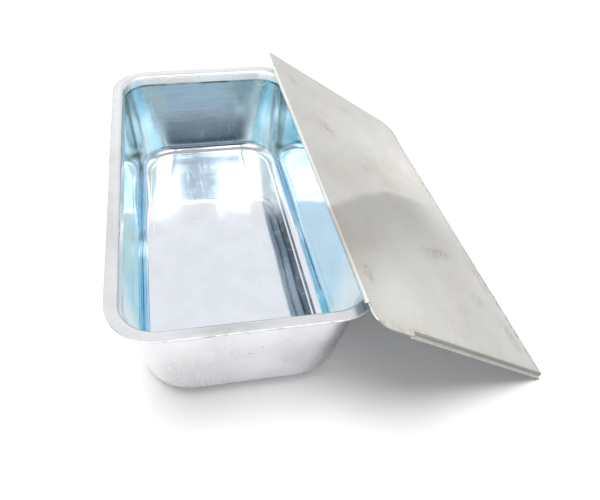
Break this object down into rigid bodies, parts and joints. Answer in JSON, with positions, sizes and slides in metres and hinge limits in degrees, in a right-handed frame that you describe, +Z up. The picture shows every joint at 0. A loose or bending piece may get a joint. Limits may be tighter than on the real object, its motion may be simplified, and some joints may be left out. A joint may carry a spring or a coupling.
{
  "type": "pullman loaf pan",
  "caption": "Deep drawn oblong loaf pan with a flat rim and rounded corners, and a folded sheet lid that leans loose against its rim.",
  "frame": {"origin": "centre of the pan's flat floor panel, on the surface that the pan stands on", "axes": "+Z up, +Y along the pan's length away from the lid's front fold, +X towards the side where the lid leans"},
  "size_m": [0.2043, 0.2342, 0.0648],
  "materials": {
    "pan_aluminium": "bright polished inside, satin outside",
    "lid_aluminium": "matte mill finish, lightly stained and scratched"
  },
  "bodies": {
    "pan": {"pan": "pan_aluminium"},
    "lid": {"lid": "lid_aluminium"}
  },
  "joints": [
    {"name": "lid_lift", "type": "slide", "parent": "pan", "child": "lid", "axis": [0, 0, 1], "range_m": [0, 0.12]}
  ]
}
